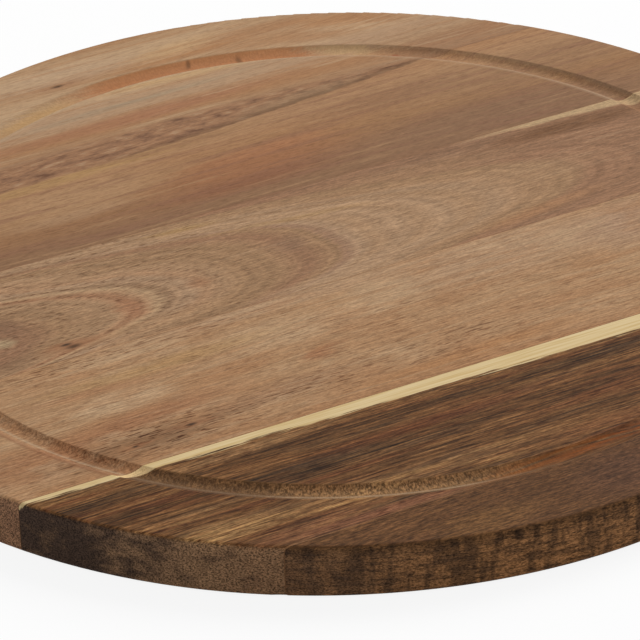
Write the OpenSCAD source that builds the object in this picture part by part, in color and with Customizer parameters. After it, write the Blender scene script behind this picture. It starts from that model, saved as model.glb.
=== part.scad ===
// Round acacia serving board for pizza: six staves, edge-glued into one panel,
// turned to a disc with softened edges and one run-round groove in the serving face.
// Millimetres, +Z up, grain along X. The origin is the centre of the underside.

/* [Board] */
// Diameter of the finished board
board_d = 320; // [290:1:420]
// Thickness of the finished board
board_t = 16; // [10:0.5:30]
// Round-over on the top edge of the rim
top_edge_r = 1.5; // [0.4:0.1:4]
// Round-over on the bottom edge of the rim
bottom_edge_r = 1.5; // [0.4:0.1:4]

/* [Groove] */
// Distance from the rim to the middle of the groove
groove_inset = 28; // [14:0.5:60]
// Radius of the round-nosed cutter that makes the groove
groove_r = 6; // [4:0.5:12]
// Depth of the groove below the serving face
groove_depth = 1.4; // [0.6:0.1:3.5]
// Radius to which both lips of the groove are sanded
groove_lip_r = 0.8; // [0.2:0.1:2]

/* [Staves] */
// Middle of the four full staves across the board, from its centre
full_staves_y = -18.4; // [-30:0.1:15]
// Width of the rear full stave
stave_2_w = 56; // [40:0.5:68]
// Width of the figured stave behind the middle glue line
stave_3_w = 56; // [40:0.5:68]
// Width of the plain stave in front of the middle glue line
stave_4_w = 62; // [40:0.5:68]
// Width of the dark stave with the sapwood edge
stave_5_w = 56.4; // [40:0.5:68]
// Thickness of the glue in each joint
glue_t = 0.15; // [0.1:0.05:0.4]

/* [Hidden] */

$fn = 96;
rim_fn = 256;
cut_margin = 1;
board_r = board_d / 2;

// The groove is the cutter's arc. Its lips are rounds that the arc crosses at a slight crease.
lip_crease = 12;
groove_centre_r = board_r - groove_inset;
groove_centre_z = board_t - groove_depth + groove_r;
lip_centre_z = board_t - groove_lip_r;
lip_fall = groove_centre_z - lip_centre_z;
lip_reach = sqrt(pow(groove_r, 2) + pow(groove_lip_r, 2) + 2 * groove_r * groove_lip_r * cos(lip_crease));
lip_x = sqrt(pow(lip_reach, 2) - pow(lip_fall, 2));
// Height at which a lip's round gives way to the arc
lip_foot_z = groove_centre_z - lip_fall * groove_r / lip_reach;

// Glue lines across the board, from the rear to the front
full_staves_w = stave_2_w + stave_3_w + stave_4_w + stave_5_w;
first_joint_y = full_staves_y + full_staves_w / 2;
joint_y = [
  first_joint_y,
  first_joint_y - stave_2_w,
  first_joint_y - stave_2_w - stave_3_w,
  first_joint_y - stave_2_w - stave_3_w - stave_4_w,
  first_joint_y - full_staves_w
];
rear_y = board_r + cut_margin;
front_y = -board_r - cut_margin;

heartwood_rear = "#a57c5a";
heartwood_streaked = "#9c7152";
heartwood_figured = "#a07a59";
heartwood_plain = "#a97f5c";
heartwood_dark = "#6b4a33";
heartwood_front = "#6f4d37";
glue_amber = "#7a5636";

// What a round-over of radius r takes off a square corner at the origin.
module corner_waste(r) {
  difference() {
    translate([-r, -r]) square(r + cut_margin);
    translate([-r, -r]) circle(r);
  }
}

// Cross-section of what the cutter and the sanding of the lips take out of the serving face.
module groove_section() {
  translate([groove_centre_r, groove_centre_z]) circle(groove_r);
  difference() {
    translate([groove_centre_r - lip_x, lip_foot_z])
      square([2 * lip_x, board_t + cut_margin - lip_foot_z]);
    for (side = [-1, 1])
      translate([groove_centre_r + side * lip_x, lip_centre_z]) circle(groove_lip_r);
  }
}

// Half of the board cut through its axis: the disc, its two round-overs and the groove.
module board_section() {
  difference() {
    square([board_r, board_t]);
    translate([board_r, board_t]) corner_waste(top_edge_r);
    translate([board_r, 0]) mirror([0, 1]) corner_waste(bottom_edge_r);
    groove_section();
  }
}

// The whole turned disc, as it comes off the lathe.
module turned_board() {
  rotate_extrude($fn = rim_fn) board_section();
}

// The part of the turned disc between two straight cuts along the grain.
module strip_of_board(y_front, y_rear) {
  intersection() {
    turned_board();
    translate([-board_r - cut_margin, y_front, -cut_margin])
      cube([board_d + 2 * cut_margin, y_rear - y_front, board_t + 2 * cut_margin]);
  }
}

// A stave stops half a glue line short of each joint.
module stave(y_front, y_rear) {
  strip_of_board(y_front + glue_t / 2, y_rear - glue_t / 2);
}

// The glue film of one joint, sanded flush with the wood.
module glue_line(joint) {
  color(glue_amber) strip_of_board(joint_y[joint] - glue_t / 2, joint_y[joint] + glue_t / 2);
}

module stave_1_rear() { color(heartwood_rear) stave(joint_y[0], rear_y); }
module stave_2_streaked() { color(heartwood_streaked) stave(joint_y[1], joint_y[0]); }
module stave_3_figured() { color(heartwood_figured) stave(joint_y[2], joint_y[1]); }
module stave_4_plain() { color(heartwood_plain) stave(joint_y[3], joint_y[2]); }
module stave_5_dark() { color(heartwood_dark) stave(joint_y[4], joint_y[3]); }
module stave_6_front() { color(heartwood_front) stave(front_y, joint_y[4]); }

stave_1_rear();
stave_2_streaked();
stave_3_figured();
stave_4_plain();
stave_5_dark();
stave_6_front();
glue_line(0);  // glue_line_1_2
glue_line(1);  // glue_line_2_3
glue_line(2);  // glue_line_3_4
glue_line(3);  // glue_line_4_5
glue_line(4);  // glue_line_5_6
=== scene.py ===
from math import radians

import bpy
from mathutils import Matrix, Vector


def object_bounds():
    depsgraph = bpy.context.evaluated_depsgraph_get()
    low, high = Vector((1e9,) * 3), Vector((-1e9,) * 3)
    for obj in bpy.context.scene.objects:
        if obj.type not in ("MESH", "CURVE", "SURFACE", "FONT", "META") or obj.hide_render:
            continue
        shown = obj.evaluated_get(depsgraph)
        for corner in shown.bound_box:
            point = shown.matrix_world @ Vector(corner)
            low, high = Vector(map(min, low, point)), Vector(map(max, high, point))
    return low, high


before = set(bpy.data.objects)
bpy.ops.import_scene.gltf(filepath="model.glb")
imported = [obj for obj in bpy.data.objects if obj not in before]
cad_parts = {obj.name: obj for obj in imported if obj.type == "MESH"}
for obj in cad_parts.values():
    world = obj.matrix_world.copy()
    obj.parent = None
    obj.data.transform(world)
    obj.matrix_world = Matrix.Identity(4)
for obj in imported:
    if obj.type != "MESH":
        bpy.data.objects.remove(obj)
cad_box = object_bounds()


# Rear stave: the segment of the disc at the back of the panel, acacia heartwood of a light tan,
# with a small pin knot. It is edge-glued to the next stave, then turned and grooved with it.
# All six staves are solid timber, so their figure runs through to the rim and the underside.
straw = "#b79775"
sand = "#ac8b6c"
tan = "#a88360"
oat = "#a38161"
ginger = "#a87040"
clay = "#a27753"
rust = "#986848"
cocoa = "#916c51"
walnut = "#6e4c32"
char = "#33261d"
# Pale tone laid along the groove's lips: a painted highlight where they catch the light.
painted_lip_highlight = "#b8a084"

mm_per_metre = 1000
rim_radius = (cad_box[1][0] - cad_box[0][0]) / 2 * mm_per_metre
face_height = cad_box[1][2] * mm_per_metre
rim_skin = 0.8
groove_inset = 28
groove_middle = rim_radius - groove_inset
groove_reach = 4.1
groove_lip = 0.8
groove_bed = 3


def linear(tone):
    """Scene-linear colour of a six-digit code, the grey of a plain number, or a link as it is."""
    if isinstance(tone, bpy.types.NodeSocket):
        return tone
    if not isinstance(tone, str):
        return [tone, tone, tone, 1.0]
    shares = [int(tone[k:k + 2], 16) / 255 for k in (1, 3, 5)]
    return [(s / 12.92 if s < 0.04045 else ((s + 0.055) / 1.055) ** 2.4) for s in shares] + [1.0]


class Timber:
    """Solid timber of a stave, or its glue: colour in layers, placed in the board's millimetres."""

    def __init__(self, name, cut_from, wander=(14, 4, 4), ragged=24, strand=(40, 0.8, 0.8)):
        """Where in the log it was cut, how far its grain wanders, and the size of its strands."""
        self.material = bpy.data.materials.new(name)
        self.material.use_nodes = True
        self.tree = self.material.node_tree
        self.tree.nodes.clear()
        self.cut_from = cut_from
        self.coords = self.add("TexCoord")
        self.place = self.vector("SCALE", self.coords.outputs["Object"], Scale=mm_per_metre)
        slow = self.noise((80, 24, 24), output="Color")
        self.grain = self.vector("ADD", self.place, self.swing(slow, wander))
        self.strand = self.noise(strand, detail=4, rough=0.62, where=self.grain)
        self.worn = self.vector("ADD", self.grain, self.swing(self.strand, (ragged, 0, 0)))
        self.colour = None

    def add(self, kind, inputs=None, **settings):
        """A new shader node, with its settings, and its inputs linked or set."""
        node = self.tree.nodes.new("ShaderNode" + kind)
        for key, value in settings.items():
            setattr(node, key, value)
        for key, value in (inputs or {}).items():
            if isinstance(value, bpy.types.NodeSocket):
                self.tree.links.new(value, node.inputs[key])
            else:
                node.inputs[key].default_value = value
        return node

    def math(self, operation, *values):
        """The result of a sum on links and plain numbers."""
        return self.add("Math", dict(enumerate(values)), operation=operation).outputs[0]

    def vector(self, operation, *values, **named):
        """The result of a sum on links and plain vectors."""
        inputs = {**dict(enumerate(values)), **named}
        return self.add("VectorMath", inputs, operation=operation).outputs[0]

    def length(self, value):
        """The length of a vector."""
        return self.add("VectorMath", {0: value}, operation="LENGTH").outputs["Value"]

    def both(self, first, *others):
        """Where masks meet: their product."""
        for other in others:
            first = self.math("MULTIPLY", first, other)
        return first

    def swing(self, noise, size):
        """A noise value made to swing about zero, times a size in millimetres each way."""
        return self.vector("MULTIPLY", self.vector("SUBTRACT", noise, (0.5, 0.5, 0.5)), size)

    def fray(self, distance, noise, size):
        """A distance from an edge, made to waver with a noise by a size in millimetres."""
        return self.math("MULTIPLY_ADD", noise, size, self.math("SUBTRACT", distance, size / 2))

    def kept_to(self, value, mask):
        """A value that swings about a half, held at a half where the mask is nothing."""
        return self.math("MULTIPLY_ADD", self.math("SUBTRACT", value, 0.5), mask, 0.5)

    def noise(self, cell, detail=2.0, rough=0.5, where=None, output=0):
        """Noise whose cells have the given length, width and depth in millimetres."""
        scale = [1 / side for side in cell]
        cells = {"Location": self.cut_from, "Scale": scale}
        grid = self.add("Mapping", {0: where or self.place, **cells})
        settings = {0: grid.outputs[0], "Scale": 1, "Detail": detail, "Roughness": rough}
        return self.add("TexNoise", settings).outputs[output]

    def axis(self, which, where=None):
        """One coordinate of a place, in millimetres."""
        return self.add("SeparateXYZ", {0: where or self.worn}).outputs[which]

    def step(self, value, start, end, top=1.0):
        """Smooth step of a value, from nothing at start to top at end."""
        limits = {"Value": value, "From Min": start, "From Max": end, "To Min": 0.0, "To Max": top}
        return self.add("MapRange", limits, interpolation_type="SMOOTHSTEP").outputs[0]

    def curve(self, value, factors):
        """A polynomial of a value, its factors written from the constant one upwards."""
        result = factors[-1]
        for factor in reversed(factors[:-1]):
            result = self.math("MULTIPLY_ADD", result, value, factor)
        return result

    def ramp(self, value, stops, smooth="LINEAR"):
        """Tones along a value, each at its place in the value's own unit."""
        low, high = stops[0][0], stops[-1][0]
        share = self.add("MapRange", {"Value": value, "From Min": low, "From Max": high}).outputs[0]
        node = self.add("ValToRGB", {0: share})
        node.color_ramp.interpolation = smooth
        knots = node.color_ramp.elements
        while len(knots) < len(stops):
            knots.new(1.0)
        for knot, (at, tone) in zip(knots, stops):
            knot.position = (at - low) / (high - low)
            knot.color = linear(tone)
        return node.outputs[0]

    def blend(self, amount, under, over, how="MIX"):
        """One tone over another. A Mix node has its colours at inputs 6 and 7, and output 2."""
        colours = {0: amount, 6: linear(under), 7: linear(over)}
        return self.add("Mix", colours, data_type="RGBA", blend_type=how).outputs[2]

    def lay(self, mask, tone, how="MIX"):
        """Lay a tone over the colour so far, where the mask is."""
        self.colour = self.blend(mask, self.colour, tone, how)

    def shade(self, value, amount):
        """Lighten and darken the colour by a value that swings about a half."""
        level = self.math("MULTIPLY_ADD", value, 2 * amount, 1 - amount)
        self.colour = self.vector("SCALE", self.colour, Scale=level)

    def oval(self, at, size, turn=0, amount=1.0, core=0.2, where=None):
        """Mask of a soft oval on the face: its place, half-length and half-width, and turn."""
        right_through = 1e6
        turned = (0, 0, radians(turn))
        shape = {"Location": (*at, 0), "Rotation": turned, "Scale": (*size, right_through)}
        inside = self.add("Mapping", {0: where or self.worn, **shape}, vector_type="TEXTURE")
        return self.step(self.length(inside.outputs[0]), 1.0, core, amount)

    def patch(self, tone, at, size, turn=0, amount=1.0, core=0.2, within=None, where=None):
        """A soft oval of another tone, kept within a mask where there is one."""
        share = self.oval(at, size, turn, amount, core, where)
        if within is not None:
            share = self.both(share, within)
        self.lay(share, tone)

    def curly(self, mask):
        """Cross-grained wood: short dark waves that lie along the grain, where the mask is."""
        wave = self.noise((7, 2.6, 2.6), detail=3, rough=0.6, where=self.grain)
        tones = [(0.3, "#6c4c38"), (0.42, "#88644b"), (0.56, "#9c7455"), (0.74, sand)]
        self.lay(mask, self.ramp(wave, tones))

    def knot(self, at, size):
        """A pin knot: a dark heart in a brown halo that trails off along the grain."""
        halo_size = (size[0] * 4, size[1] * 2.4)
        self.lay(self.oval(at, halo_size, amount=0.5, core=0.1), rust)
        self.lay(self.oval(at, size, amount=0.9, core=0.1, where=self.grain), char)

    def streaks(self, cell, redder, paler, amount):
        """Long soft stripes along the grain, some redder and some paler than the ground."""
        stripe = self.noise(cell, detail=3, rough=0.55, where=self.grain)
        self.lay(self.step(stripe, 0.48, 0.68, amount), redder)
        self.lay(self.step(stripe, 0.46, 0.3, amount), paler)

    def fibres(self, hair, grit, dash, mask=1.0, reach=1.0):
        """Fine grain: hair-thin fibres, the grit between them and the dark dashes of cut vessels."""
        hair_cell = (7 * reach, 0.62, 0.62)
        grit_cell = (1.4, 0.5, 0.5)
        vessel_cell = (3.4 * reach, 0.55, 0.55)
        vessel_tone = "#8a6650"
        fine = self.noise(hair_cell, detail=3, rough=0.7, where=self.grain)
        self.shade(self.step(fine, 0.3, 0.7), hair)
        specks = self.noise(grit_cell, rough=0.65)
        self.shade(self.step(specks, 0.3, 0.7), grit)
        vessel = self.step(self.noise(vessel_cell, detail=1.5, where=self.grain), 0.5, 0.7, dash)
        self.lay(self.both(vessel, mask), vessel_tone, "MULTIPLY")
        self.relief = fine

    def groove(self, profile, along=1.0):
        """The routed groove: tones from its inner lip to its outer one, and how much along it.

        An entry of the profile is a distance outwards from the middle, a tone and the tone's share.
        Besides the groove's own tones, some profiles paint highlight along the lips and shade on the
        walls.
        """
        self.radius = self.length(self.vector("MULTIPLY", self.place, (1, 1, 0)))
        self.outwards = self.math("SUBTRACT", self.radius, groove_middle)
        bed_height = face_height - groove_bed
        on_top = self.step(self.axis("Z", self.place), bed_height - 1, bed_height)
        off_middle = self.math("ABSOLUTE", self.outwards)
        inside = self.step(off_middle, groove_reach, groove_reach - groove_lip)
        self.cut = self.both(inside, on_top)
        tones = self.ramp(self.outwards, [(at, tone) for at, tone, share in profile])
        shares = self.ramp(self.outwards, [(at, share) for at, tone, share in profile])
        self.lay(self.both(shares, on_top, along), tones)

    def tear(self, depth, wall, along=1.0):
        """Fibres torn by the cutter, between two distances from the middle of the groove."""
        tuft_cell = (1.3, 0.7, 1.0)
        x, y, z = self.add("SeparateXYZ", {0: self.place}).outputs
        around = self.math("MULTIPLY", self.math("ARCTAN2", y, x), groove_middle)
        polar = self.add("CombineXYZ", {0: self.radius, 1: around, 2: z}).outputs[0]
        self.torn = self.step(self.noise(tuft_cell, rough=0.65, where=polar), 0.32, 0.68)
        low, high = wall
        starts = self.step(self.outwards, low - 0.6, low + 0.6)
        ends = self.step(self.outwards, high + 0.9, high - 0.9)
        self.shade(self.kept_to(self.torn, self.both(starts, ends, self.cut, along)), depth)
        self.torn_bump = self.both(self.cut, along, min(1.0, 3 * depth))

    def rim(self, deep, light, lean=0.0, bars=0.0, peppery=0.45, brow=0.0):
        """The turned edge: peppery end grain where fibres come out, and dark bars where they pass.

        Lean shifts the mottle to the light tone, and brow darkens the stretch under the top edge.
        The lower part is lightened: painted light against the floor's soft shadow.
        """
        mottle_cell = (9, 9, 5)
        bar_cell = (3.4, 60, 16)
        dash_cell = (6, 60, 0.8)
        pepper_cell = (1.0, 0.4, 0.4)
        bar_ground = "#a4754c"
        facing = self.add("SeparateXYZ", {0: self.coords.outputs["Normal"]}).outputs
        upright = self.step(self.math("ABSOLUTE", facing["Z"]), 0.95, 0.6)
        outer = self.step(self.radius, rim_radius - 2 * rim_skin, rim_radius - rim_skin)
        edge = self.both(outer, upright)
        if bars:
            bar = self.step(self.noise(bar_cell, rough=0.55), 0.44, 0.62, bars)
            dash = self.step(self.noise(dash_cell, rough=0.6), 0.46, 0.62, bars)
            self.lay(self.both(edge, 0.6), bar_ground)
            self.lay(self.both(bar, edge), char)
            self.lay(self.both(dash, edge), char)
        mottle = self.math("ADD", self.noise(mottle_cell, detail=3, rough=0.6), lean)
        end_tones = self.blend(self.step(mottle, 0.31, 0.69), deep, light)
        end_grain = self.step(self.math("ABSOLUTE", facing["X"]), 0.2, 0.75)
        self.lay(self.both(end_grain, edge), end_tones)
        pepper = self.step(self.noise(pepper_cell, detail=3, rough=0.7), 0.3, 0.7)
        self.shade(self.kept_to(pepper, edge), peppery)
        # Lighter towards the bottom: painted light against the floor's shadow. Brow darkens or
        # lightens the stretch under the top edge.
        under_edge = 0.5 - brow
        painted_light_and_brow_levels = [
            (0, 0.57), (3, 0.57), (8, 0.5), (11.5, 0.5),
            (14.6, under_edge), (face_height, under_edge),
        ]
        level = self.ramp(self.axis("Z", self.place), painted_light_and_brow_levels)
        turned = self.step(self.radius, rim_radius - 1.5 * rim_skin, rim_radius - 0.5 * rim_skin)
        self.shade(self.kept_to(level, turned), 1.0)

    def oiled(self):
        """The sanded and oiled surface: a low sheen over fine raised grain and torn fibres."""
        matt = self.math("MULTIPLY_ADD", self.strand, 0.25, 0.42)
        raised = self.add("Bump", {"Strength": 0.25, "Distance": 0.0002, "Height": self.relief})
        torn = {"Strength": self.torn_bump, "Distance": 0.00012, "Height": self.torn}
        uneven = self.add("Bump", {**torn, "Normal": raised.outputs[0]})
        finish = {"Base Color": self.colour, "Roughness": matt, "Normal": uneven.outputs[0]}
        shader = self.add("BsdfPrincipled", finish)
        shader.inputs["Specular IOR Level"].default_value = 0.04
        self.add("OutputMaterial", {0: shader.outputs[0]})
        return self.material


def dress(node, material):
    """Give a stave or a glue line its finish, in place of the plain one that it came with."""
    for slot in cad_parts[node].material_slots:
        slot.material = material


rear = Timber("acacia_rear_timber", cut_from=(311, 47, 19))
rear_bands = [
    (97, cocoa), (100, oat), (104, clay), (109, clay), (112.5, sand), (117, sand), (121, sand),
    (124, straw), (128, straw), (133, straw), (138, tan), (142, sand), (147, straw), (151, straw),
    (156, tan), (160, clay),
]
rear.colour = rear.ramp(rear.axis("Y"), rear_bands, "B_SPLINE")
rear.patch(clay, (45, 140.5), (40, 5), 3, 0.9)
rear.patch(ginger, (76, 133), (26, 7), -20, 0.5)
rear.patch("#a8805c", (46, 133), (24, 7), -8, 0.8)
rear.patch(straw, (28, 149), (26, 3.5), 6, 0.8)
rear.patch(oat, (95, 111), (36, 9), 0, 0.7)
rear.patch(tan, (52, 147), (34, 8), 0, 0.6)
rear.patch("#9d6b50", (-15, 107.5), (75, 4.5), 0, 0.6)
rear.patch("#bf9a6c", (10, 125.5), (50, 3.2), -3, 0.6)
rear.patch("#b6987a", (-22, 146), (34, 8), 0, 0.6)
rear.patch(ginger, (12, 139), (34, 4), 0, 0.4)
rear.patch(cocoa, (100, 104), (40, 8), 0, 0.5)
rear.patch(clay, (62, 128), (20, 6), -20, 0.6)
rear.patch(clay, (84, 130), (18, 6), -35, 0.7)
rear.patch("#c09a6e", (18, 144), (24, 6), 4, 0.6)
rear.patch("#9a8a72", (-10, 117), (60, 2.4), 2, 0.5)
rear.knot((-27, 140), (3.6, 1.4))
rear.streaks((60, 2.2, 2.2), clay, straw, 0.5)
rear.curly(rear.oval((5, 96), (85, 5.5), amount=0.9, core=0.5))
rear.fibres(hair=0.09, grit=0.06, dash=0.2)
# The pale entries paint highlight on both lips, and the brown on the outer wall paints shade.
rear_profile = [
    (-5.2, painted_lip_highlight, 0), (-4, painted_lip_highlight, 0.3), (-2.6, painted_lip_highlight, 0.3), (-1, clay, 0.05),
    (2.4, "#8a6a4c", 0.1), (3.4, painted_lip_highlight, 0.12), (4.2, clay, 0),
]
rear.groove(rear_profile)
# The orange is the groove's own tone, lightened towards the outer wall as painted light against the
# shade there.
orange_left = rear.step(rear.axis("X"), -36, -10, 0.85)
orange_right = rear.step(rear.axis("X"), 66, 48)
orange_tones_lit_outwards = [(-3, "#a46c44"), (0.5, "#a46a42"), (3.5, "#b0764a")]
rear.lay(rear.both(orange_left, orange_right, rear.cut), rear.ramp(rear.outwards, orange_tones_lit_outwards))
rear.patch("#b5936a", (66, 115.5), (15, 5), -42, 0.75, core=0.3, within=rear.cut)
rear.patch("#b28a56", (-42, 125), (24, 6), 18, 0.55, core=0.3, within=rear.cut)
rear.tear(depth=0.08, wall=(-3, 3.4))
rear.patch("#744a30", (89, 97.5), (13, 7), -45, 0.3, core=0.3, within=rear.cut)
rear.patch(walnut, (17.8, 133), (1.3, 3.4), -12, 0.7, within=rear.cut, where=rear.grain)
rear.patch(walnut, (34.5, 127.5), (1.6, 4), -14, 0.7, within=rear.cut, where=rear.grain)
rear.patch("#8a4c34", (80.5, 103.8), (2, 2), 0, 0.6, core=0.3, within=rear.cut, where=rear.grain)
rear.rim("#74563f", "#967456")
dress("stave_1_rear", rear.oiled())


# Second stave: tan heartwood that reddens towards the middle, with a dark curly wedge of
# cross-grained wood along its rear edge. It is glued between the rear and the figured stave.
honey = "#a88456"
umber = "#553a26"
streaked = Timber("acacia_streaked_timber", cut_from=(-87, 211, 5))
streaked_bands = [
    (41, "#87654a"), (46, "#8a684c"), (54, "#926a4a"), (66, "#98724f"),
    (76, clay), (86, tan), (97, clay),
]
streaked.colour = streaked.ramp(streaked.axis("Y"), streaked_bands, "B_SPLINE")
streaked.patch(tan, (-55, 70), (55, 15), 0, 0.9)
streaked.patch(rust, (5, 61), (50, 12), 0, 0.85)
streaked.patch("#a5714f", (12, 68), (36, 5), 0, 0.6)
streaked.patch("#875a41", (2, 52), (48, 6), 0, 0.7)
streaked.patch(sand, (-58, 60), (34, 4.5), 0, 0.4)
streaked.patch("#8e684b", (60, 79), (46, 9), 4, 0.75)
streaked.patch("#87664c", (85, 52), (85, 16), 0, 0.9)
streaked.patch("#927052", (110, 75), (75, 16), 0, 0.7)
streaked.patch(honey, (-45, 82.5), (75, 3.6), 2.5, 0.7)
streaked.streaks((60, 2.2, 2.2), "#87604a", tan, 0.5)

# The wedge lies behind a bent line across the stave, with a dark brink along its right half.
wedge_line = (87.5, 0.0807, 0.000365)
wedge_y = streaked.curve(streaked.axis("X"), wedge_line)
behind = streaked.math("SUBTRACT", streaked.axis("Y"), wedge_y)
behind = streaked.fray(behind, streaked.noise((7, 3, 3)), 3)
wedge = streaked.step(behind, -0.8, 1.2)
streaked.curly(wedge)
streaked.patch("#97795b", (36, 93), (34, 5), 6, 0.6, core=0.3, within=wedge)
brink_rear = streaked.step(behind, 2.8, 0.8, 0.45)
brink_right = streaked.step(streaked.axis("X"), -60, 20)
streaked.lay(streaked.both(streaked.step(behind, -0.8, 0.4), brink_rear, brink_right), umber)
streaked.fibres(hair=0.1, grit=0.07, dash=0.25)
# The pale entries paint highlight on the inner and outer lips, and the brown on the outer wall paints
# shade.
streaked_profile = [
    (-5.2, painted_lip_highlight, 0), (-4, painted_lip_highlight, 0.3), (-2.4, painted_lip_highlight, 0.35), (-0.6, "#7a5434", 0.03),
    (2.2, "#7a5434", 0.12), (3.5, painted_lip_highlight, 0.14), (4.2, painted_lip_highlight, 0),
]
streaked.groove(streaked_profile)
streaked.tear(depth=0.1, wall=(-2.2, 3))
streaked.rim("#6c4f3a", "#8c694c")
dress("stave_2_streaked", streaked.oiled())


# Figured stave: flat-sawn, so that its growth rings come up as nested arches that open to the
# left. A wisp of pale sapwood was left on its rear edge at the right. It is glued between the
# streaked stave and the plain one.
fawn = "#9b7959"
figured = Timber(
    "acacia_figured_timber", cut_from=(12, -140, 77),
    wander=(10, 3, 3), ragged=6, strand=(10, 0.9, 0.9),
)

# An arch is a nose on the axis with two arms that bend back, more so far from the middle arch.
arch_axis = (5.3, 0.02)
arch_front = -1.2
arch_nose = (0, 0.03, 0.000034)
arch_middle = 2.0
flare_pull = 1.5
flare_limit = 22.0
off_axis = figured.math("SUBTRACT", figured.axis("Y"), figured.curve(figured.axis("X"), arch_axis))
off_axis = figured.math("MAXIMUM", off_axis, figured.math("MULTIPLY", off_axis, arch_front))
arm = figured.curve(figured.math("MULTIPLY", off_axis, off_axis), arch_nose)
from_middle = figured.math("SUBTRACT", figured.axis("X"), arch_middle)
from_middle = figured.math("ABSOLUTE", figured.math("MULTIPLY_ADD", arm, flare_pull, from_middle))
flare = figured.both(figured.step(from_middle, 5, 60), figured.math("MINIMUM", arm, flare_limit))
ring = figured.math("ADD", figured.math("ADD", figured.axis("X"), arm), flare)
ring_bands = [
    (-130, cocoa), (-101, cocoa), (-90, fawn), (-72, oat), (-66, "#9e7455"), (-59, "#ae8e6c"),
    (-55, "#967659"), (-47, sand), (-43, "#a58060"), (-36, oat), (-29, fawn), (-18, fawn), (-8, cocoa),
    (1, fawn), (4, "#95735a"), (9, sand), (14, oat), (24, "#a88768"), (31, oat), (40, "#a88768"),
    (49, "#9f7d5d"), (57, "#a78667"), (68, "#9e7b5b"), (84, fawn), (92, cocoa), (125, cocoa),
]
figured.colour = figured.ramp(ring, ring_bands)
ring_place = figured.add("CombineXYZ", {0: ring, 1: off_axis}).outputs[0]
rows = figured.noise((3.6, 70, 70), detail=3, rough=0.6, where=ring_place)
figured.shade(figured.step(rows, 0.35, 0.65), 0.1)
figured.patch(fawn, (45, 31), (50, 8), -6, 0.5)
figured.patch("#7e5f48", (-103, 10), (10, 7), 60, 0.6)
figured.patch("#7e5f48", (-110, -10), (12, 5), 10, 0.5)
figured.patch("#ad9472", (-108, 2), (5, 4), 0, 0.9)
figured.patch("#84664f", (-8, 11), (8, 7), 0, 0.5)
figured.patch(oat, (70, 12), (40, 10), 0, 0.5)
figured.patch("#82624a", (60, 37), (34, 3.5), -2, 0.7)
figured.patch(honey, (-32, 36), (18, 2.5), -4, 0.6)
figured.patch(honey, (0, 24), (36, 2), -8, 0.4)
figured.patch("#a06f50", (-68, 2), (7, 9), 0, 0.55)
figured.patch(rust, (-44, 5), (6, 4), 0, 0.45)
figured.patch(sand, (0, -11), (50, 4), 5, 0.6)
figured.patch(tan, (-65, -9), (40, 5), 3, 0.6)
figured.patch(clay, (65, -9), (36, 4), 8, 0.6)
figured.patch(walnut, (103, 32.5), (45, 6), -1, 0.8)
figured.streaks((40, 2, 2), "#8e6c50", sand, 0.3)

# The wisp lies behind a straight line that runs out of the stave towards the left.
wisp_line = (44.2, -0.062)
wisp_y = figured.curve(figured.axis("X"), wisp_line)
wisp = figured.math("SUBTRACT", figured.axis("Y", figured.grain), wisp_y)
wisp = figured.fray(wisp, figured.noise((14, 3, 3)), 3)
wisp_right = figured.step(figured.axis("X"), 55, 98, 0.75)
figured.lay(figured.both(figured.step(wisp, -0.9, 0.7), wisp_right), "#bda078")
speckled = figured.step(figured.axis("X", figured.place), 20, -70)
speckled = figured.math("MULTIPLY_ADD", speckled, 0.7, 0.3)
speckled = figured.both(speckled, figured.step(rows, 0.65, 0.35, 1.3))
figured.fibres(hair=0.21, grit=0.15, dash=0.55, mask=speckled, reach=0.9)
figured.knot((-90.5, -9.8), (4, 1.8))
figured.knot((-92.5, -8.0), (3, 1.2))
figured_profile = [(-4.2, "#96683e", 0), (-3, "#96683e", 0.2), (0, "#96683e", 0.1), (3, painted_lip_highlight, 0)]
figured.groove(figured_profile)
figured.tear(depth=0.1, wall=(-4, -1))
figured.rim("#765843", "#8e6c50")
dress("stave_3_figured", figured.oiled())


# Plain stave: the widest and lightest one, straight grained with fine dashes and a few
# reddish clouds and pin knots. It is glued between the figured stave and the dark one.
plain = Timber("acacia_plain_timber", cut_from=(150, 23, -61))
plain.colour = plain.ramp(plain.axis("Y"), [(-77, clay), (-72, tan)])
plain.patch(sand, (40, -26), (60, 20), 0, 0.9)
plain.patch("#a1826a", (95, -30), (40, 20), 0, 0.7)
plain.patch(sand, (-30, -18), (75, 5), 0, 0.8)
plain.patch(straw, (-42, -29), (26, 6), 0, 0.6)
plain.patch(straw, (-22, -35), (50, 9), 3, 0.7)
plain.patch(straw, (-85, -21), (40, 4), 0, 0.5)
plain.patch(honey, (-75, -31), (50, 5), 0, 0.5)
plain.patch(clay, (-60, -44), (30, 7), 4, 0.7)
plain.patch(rust, (-98, -35), (26, 3), -4, 0.4)
plain.patch(rust, (-94, -55), (46, 8), 5, 0.75)
plain.patch(straw, (-93, -43), (20, 8), 0, 0.9, core=0.4)
plain.patch(rust, (-128, -62), (26, 14), 0, 0.6)
plain.patch(cocoa, (-55, -62), (45, 7), 4, 0.5)
plain.patch("#7a583d", (-98, -67.5), (40, 9), 2, 0.8)
plain.patch(ginger, (5, -71), (55, 5), 2, 0.45)
plain.patch(rust, (-28, -48.5), (9, 4.5), 10, 0.8)
plain.streaks((24, 10, 10), clay, straw, 0.5)
plain.streaks((50, 2.0, 2.0), clay, straw, 0.4)
busy = plain.step(plain.noise((45, 10, 10)), 0.4, 0.6)
busy = plain.math("MULTIPLY_ADD", busy, 0.3, 0.2)
busy_places = [((-82, -19), (50, 6), 0.6), ((-90, -66), (42, 12), 1.0), ((-20, -62), (70, 10), 0.5)]
for at, size, amount in busy_places:
    busy = plain.math("ADD", busy, plain.oval(at, size, amount=amount))
plain.fibres(hair=0.2, grit=0.15, dash=0.8, mask=busy, reach=1.2)
plain.knot((-82, -65.5), (2.6, 1.1))
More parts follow.
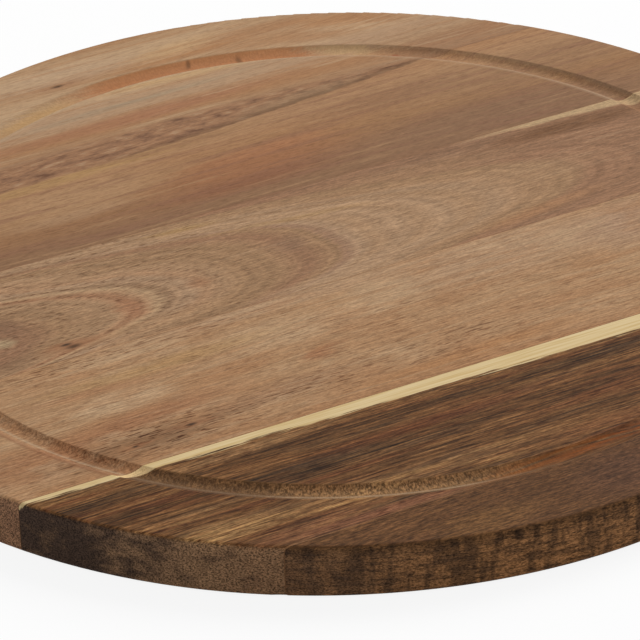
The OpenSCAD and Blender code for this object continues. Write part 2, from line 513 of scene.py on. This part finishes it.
plain.knot((-101, -68), (1.6, 0.8))
# The pale entries near the middle paint highlight, and the browns towards the outer lip paint shade.
plain_profile = [
    (-4.4, "#9a5a36", 0), (-3.4, "#9a5a36", 0.2), (-1.6, "#9a5a36", 0.2), (-0.2, "#945a36", 0.2),
    (0.4, painted_lip_highlight, 0.15), (0.9, painted_lip_highlight, 0.5), (1.5, "#8e5c3c", 0.15), (2.2, "#8e5c3c", 0.24),
    (2.7, "#865a3e", 0.5), (3.6, "#865a3e", 0.6), (4.5, "#865a3e", 0.45), (5.2, "#865a3e", 0),
]
plain.groove(plain_profile)
plain.tear(depth=0.24, wall=(-4.2, -1))
plain.rim("#7a5a44", "#967054", peppery=0.95)
dress("stave_4_plain", plain.oiled())


# Dark stave: deep brown heartwood with black and golden streaks, glued between the plain stave
# and the front one. The sapwood of the same plank was left on its rear edge, and shows as the
# pale strip beside the plain stave.
sapwood = "#d9c193"
# Pale tone laid along the groove's lips on the dark staves: a painted highlight.
lip_highlight_on_dark = "#a48869"
dark = Timber(
    "acacia_dark_timber", cut_from=(-33, 9, 140),
    wander=(10, 2.5, 2.5), ragged=30, strand=(30, 0.85, 0.85),
)

# Bands across the stave and clouds on it make its strands lean to the light or the dark tones.
dark_bands = [
    (-134, 0.5), (-129, 0.52), (-124, 0.5), (-119, 0.53), (-113, 0.47), (-109, 0.53), (-103, 0.46),
    (-98, 0.48), (-95.5, 0.56), (-91, 0.46), (-88, 0.45), (-85, 0.55), (-77, 0.58),
]
dark_clouds = [
    ((-97, -118.5), (34, 8), 0, 0.27),
    ((-106, -107), (26, 7), 0, 0.14),
    ((-30, -120), (56, 9), 0, 0.14),
    ((-60, -120), (26, 12), 0, 0.1),
    ((30, -90.5), (36, 3.5), -2, -0.1),
    ((-120, -98), (26, 5), 0, -0.08),
    ((-65, -99), (60, 7), 1, -0.1),
    ((-55, -103), (24, 3), 0, -0.12),
    ((-28, -124), (14, 2.6), 0, -0.12),
]
dark_tones = [
    (0.28, "#2a1d14"), (0.38, "#4f351f"), (0.46, "#604127"),
    (0.54, "#6e4b2c"), (0.64, "#825b39"), (0.8, "#a67e50"),
]
lean = dark.math("SUBTRACT", dark.ramp(dark.axis("Y"), dark_bands), 0.5)
for cloud in dark_clouds:
    lean = dark.math("ADD", lean, dark.oval(*cloud))
dark.colour = dark.ramp(dark.math("ADD", dark.strand, lean), dark_tones)
dark.streaks((45, 3.5, 3.5), "#6a3c24", "#5c4632", 0.45)
lines = dark.noise((55, 0.9, 0.9), where=dark.grain)
dark.lay(dark.step(lines, 0.58, 0.7, 0.5), "#3a2818")
dark.lay(dark.step(lines, 0.42, 0.3, 0.4), "#8e6840")
dark.patch(rust, (-80, -128), (34, 4), 4, 0.4)
dark.patch("#8a5a42", (-58, -131.5), (42, 3.4), 0, 0.6)
dark.patch("#875a38", (22, -122.5), (34, 4), 3, 0.65)
dark.patch("#704026", (-20, -97), (60, 4), 1, 0.5)
dark.patch("#98724c", (-78, -84.5), (44, 3), 1, 0.75)
light_strands = dark.step(dark.strand, 0.34, 0.56)
dark.patch("#743a10", (25, -129), (48, 3.2), 4, 0.95, core=0.3, within=light_strands)
dark.patch("#5c3618", (20, -133), (46, 3), 3, 0.6)
dark.patch("#94643c", (-2, -128.6), (22, 1.3), 0, 0.5)
dark.fibres(hair=0.46, grit=0.24, dash=0.7, reach=1.6)

# The groove is golden and torn at the left and rusty at the right. Its pale lines along the outer lip
# are painted highlight.
dark_profile = [
    (-4.4, "#84623f", 0), (-3.4, "#866240", 0.6), (-1.8, "#886542", 0.6), (-1.1, "#8f6c48", 0.65),
    (0.3, "#8f6c48", 0.65), (0.7, lip_highlight_on_dark, 0.5), (1.1, "#a88c6e", 0.85), (1.6, lip_highlight_on_dark, 0.4),
    (2.4, lip_highlight_on_dark, 0),
]
outer_lip = 3.4
golden = dark.step(dark.axis("X", dark.place), 2, -36)
golden = dark.math("MULTIPLY_ADD", golden, 0.85, 0.15)
dark.groove(dark_profile, golden)
from_lip = dark.math("ABSOLUTE", dark.math("SUBTRACT", dark.outwards, outer_lip))
dark.lay(dark.both(dark.step(from_lip, 0.7, 0.2, 0.3), dark.cut), lip_highlight_on_dark)
rusty = dark.both(light_strands, dark.cut)
dark.patch("#80481c", (-4, -129.8), (34, 3.8), 2, 0.65, within=rusty)
dark.tear(depth=0.55, wall=(-4.2, 0.2), along=golden)
dark.patch(umber, (-98, -92), (46, 14), -48, 0.6, core=0.3, within=dark.cut)
rim_lean = dark.step(dark.axis("Y", dark.place), -84, -130, 0.36)
rim_lean = dark.math("SUBTRACT", rim_lean, 0.18)
dark.rim("#42332a", "#82644a", rim_lean, peppery=0.82, brow=-0.05)

# The sapwood ends at a bent line across the stave, which draws back below the face.
sap_line = (-83.3, -0.0265, 0.00005)
sap_slope = (0, 0, 0.35)
sunk_by = dark.math("SUBTRACT", face_height, dark.axis("Z", dark.place))
sap_y = dark.math("ADD", dark.curve(dark.axis("X"), sap_line), dark.curve(sunk_by, sap_slope))
behind = dark.math("SUBTRACT", dark.axis("Y", dark.grain), sap_y)
behind = dark.fray(behind, dark.noise((28, 0.9, 60), detail=4, rough=0.62), 5)
behind = dark.fray(behind, dark.noise((8, 0.6, 60)), 2.4)
pale = dark.blend(dark.step(dark.strand, 0.38, 0.7), sapwood, "#c8aa74")
# Inside the groove the sapwood is lighter and more golden: partly its own tone, partly painted light
# against the groove's shade.
pale = dark.blend(dark.both(dark.cut, 0.7), pale, "#e2be8a")
dark.lay(dark.step(behind, -0.3, 0.5), pale)
dress("stave_5_dark", dark.oiled())


# Front stave: the narrow segment of dark brown heartwood at the front, with a fine wavy figure.
# It is glued to the dark stave, and the two make up most of the rim that faces the viewer.
front = Timber(
    "acacia_front_timber", cut_from=(61, -18, 33),
    wander=(10, 2.5, 2.5), ragged=30, strand=(24, 1.1, 1.1),
)
front_tones = [
    (0.3, "#523620"), (0.42, "#5d3f27"), (0.5, "#634329"), (0.6, "#68472b"), (0.75, "#704e30"),
]
front.colour = front.ramp(front.strand, front_tones)
front.patch("#5c3f2e", (14, -148), (30, 18), 0, 0.7)
front.patch("#7c5834", (-34, -150), (20, 9), 0, 0.5)
wave_turn = radians(-18)
slanted = front.add("Mapping", {0: front.grain, "Rotation": (0, 0, wave_turn)}).outputs[0]
wave = front.step(front.noise((9, 1.5, 1.5), where=slanted), 0.35, 0.65)
wavy = front.oval((-66, -140), (44, 16), core=0.4)
front.shade(front.kept_to(wave, wavy), 0.22)
front.fibres(hair=0.44, grit=0.34, dash=0.4, reach=0.8)
# The pale entry paints highlight along the outer lip.
front_profile = [
    (-4, "#8a6642", 0), (-3, "#8a6642", 0.3), (0.3, "#8a6642", 0.3),
    (1.0, lip_highlight_on_dark, 0.6), (2.2, lip_highlight_on_dark, 0),
]
front.groove(front_profile)
front.tear(depth=0.2, wall=(-4.2, -1.2))
rim_lean = front.step(front.axis("X", front.place), -90, 60, 0.3)
rim_lean = front.math("SUBTRACT", rim_lean, 0.12)
front.rim("#4a382c", "#8e6a4c", rim_lean, bars=0.6, peppery=0.7, brow=0.2)
dress("stave_6_front", front.oiled())


# Glue lines: the cured film in the five edge joints, sanded flush with the wood.
# It shows only as a hair-thin amber line on the faces and the rim.
glue_tone = "#8e6a46"
glue = Timber("glue_film", cut_from=(5, 5, 5))
glue.colour = glue.ramp(glue.strand, [(0.2, walnut), (0.8, clay)])
glue.fibres(hair=0.1, grit=0.1, dash=0.3)
glue.groove([(-4, glue_tone, 0), (-3, glue_tone, 0.3), (3, glue_tone, 0.3), (4, glue_tone, 0)])
glue.tear(depth=0.1, wall=(-4, 4))
glue.rim(umber, walnut)
glue_material = glue.oiled()
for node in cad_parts:
    if node.startswith("glue_line"):
        dress(node, glue_material)


# Floor: a plain pale table top that the board lies on.
# It reads as white to the camera and keeps the board's soft shadow.
floor_side = 8
floor_drop = 0.0002
floor_white = (0.92, 0.92, 0.92, 1)
floor_glow = 0.88


def shows_white(tree):
    """One for rays that show the plain ground: seen straight, mirrored or through glass."""
    path = tree.nodes.new("ShaderNodeLightPath")
    shown = path.outputs["Is Camera Ray"]
    for ray in ("Is Glossy Ray", "Is Transmission Ray"):
        either = tree.nodes.new("ShaderNodeMath")
        either.operation = "MAXIMUM"
        tree.links.new(shown, either.inputs[0])
        tree.links.new(path.outputs[ray], either.inputs[1])
        shown = either.outputs[0]
    return shown


bpy.ops.object.select_all(action="DESELECT")
bpy.ops.mesh.primitive_plane_add(size=floor_side, location=(0, 0, -floor_drop))
floor = bpy.context.object
floor.name = "floor"
bpy.ops.object.transform_apply(location=True)
table = bpy.data.materials.new("pale_table")
table.use_nodes = True
nodes = table.node_tree.nodes
links = table.node_tree.links
nodes.clear()
matt_white = nodes.new("ShaderNodeBsdfDiffuse")
matt_white.inputs["Color"].default_value = floor_white
glow = nodes.new("ShaderNodeEmission")
share = nodes.new("ShaderNodeMath")
share.operation = "MULTIPLY"
share.inputs[1].default_value = floor_glow
blend = nodes.new("ShaderNodeMixShader")
out = nodes.new("ShaderNodeOutputMaterial")
links.new(shows_white(table.node_tree), share.inputs[0])
links.new(share.outputs[0], blend.inputs[0])
links.new(matt_white.outputs[0], blend.inputs[1])
links.new(glow.outputs[0], blend.inputs[2])
links.new(blend.outputs[0], out.inputs[0])
floor.data.materials.append(table)


# Light: a wide soft lamp at the right of the board and a little behind it, in an even white room.
# The room fills the shadows softly and shows as plain white behind the floor.
lamp_distance = 4.0
lamp_swing = radians(25)
lamp_rise = radians(42)
room_fill = 0.42
lamp_turn = Matrix.Rotation(lamp_swing, 4, "Z") @ Matrix.Rotation(-lamp_rise, 4, "Y")
lamp_at = lamp_turn @ Vector((lamp_distance, 0, 0))
bpy.ops.object.light_add(type="AREA", location=lamp_at)
lamp = bpy.context.object
lamp.data.size = 2.5
lamp.data.energy = 144
lamp.rotation_euler = lamp_at.to_track_quat("Z", "Y").to_euler()
room = bpy.data.worlds.new("white_room")
room.use_nodes = True
bpy.context.scene.world = room
nodes = room.node_tree.nodes
links = room.node_tree.links
nodes.clear()
fill = nodes.new("ShaderNodeBackground")
fill.inputs["Color"].default_value = (1, 1, 1, 1)
fill.inputs["Strength"].default_value = room_fill
white = nodes.new("ShaderNodeBackground")
white.inputs["Color"].default_value = (1, 1, 1, 1)
blend = nodes.new("ShaderNodeMixShader")
out = nodes.new("ShaderNodeOutputWorld")
links.new(shows_white(room.node_tree), blend.inputs[0])
links.new(fill.outputs[0], blend.inputs[1])
links.new(white.outputs[0], blend.inputs[2])
links.new(blend.outputs[0], out.inputs[0])
bpy.context.scene.view_settings.view_transform = "Standard"


# Camera: a long lens at the front left of the board, looking down at it.
# Its place is given by the point that it looks at, its distance and three angles.
aim = Vector((-0.0226, -0.0328, 0.016))
distance = 1.325
swing = radians(-27.547)
rise = radians(30.473)
roll = radians(-1.673)
turn = Matrix.Rotation(swing, 4, "Z") @ Matrix.Rotation(radians(90) - rise, 4, "X")
turn = turn @ Matrix.Rotation(roll, 4, "Z")
bpy.ops.object.camera_add()
camera = bpy.context.object
camera.data.lens = 256.8
camera.data.sensor_width = 36
camera.matrix_world = Matrix.Translation(aim + turn.to_3x3() @ Vector((0, 0, distance))) @ turn
bpy.context.scene.camera = camera
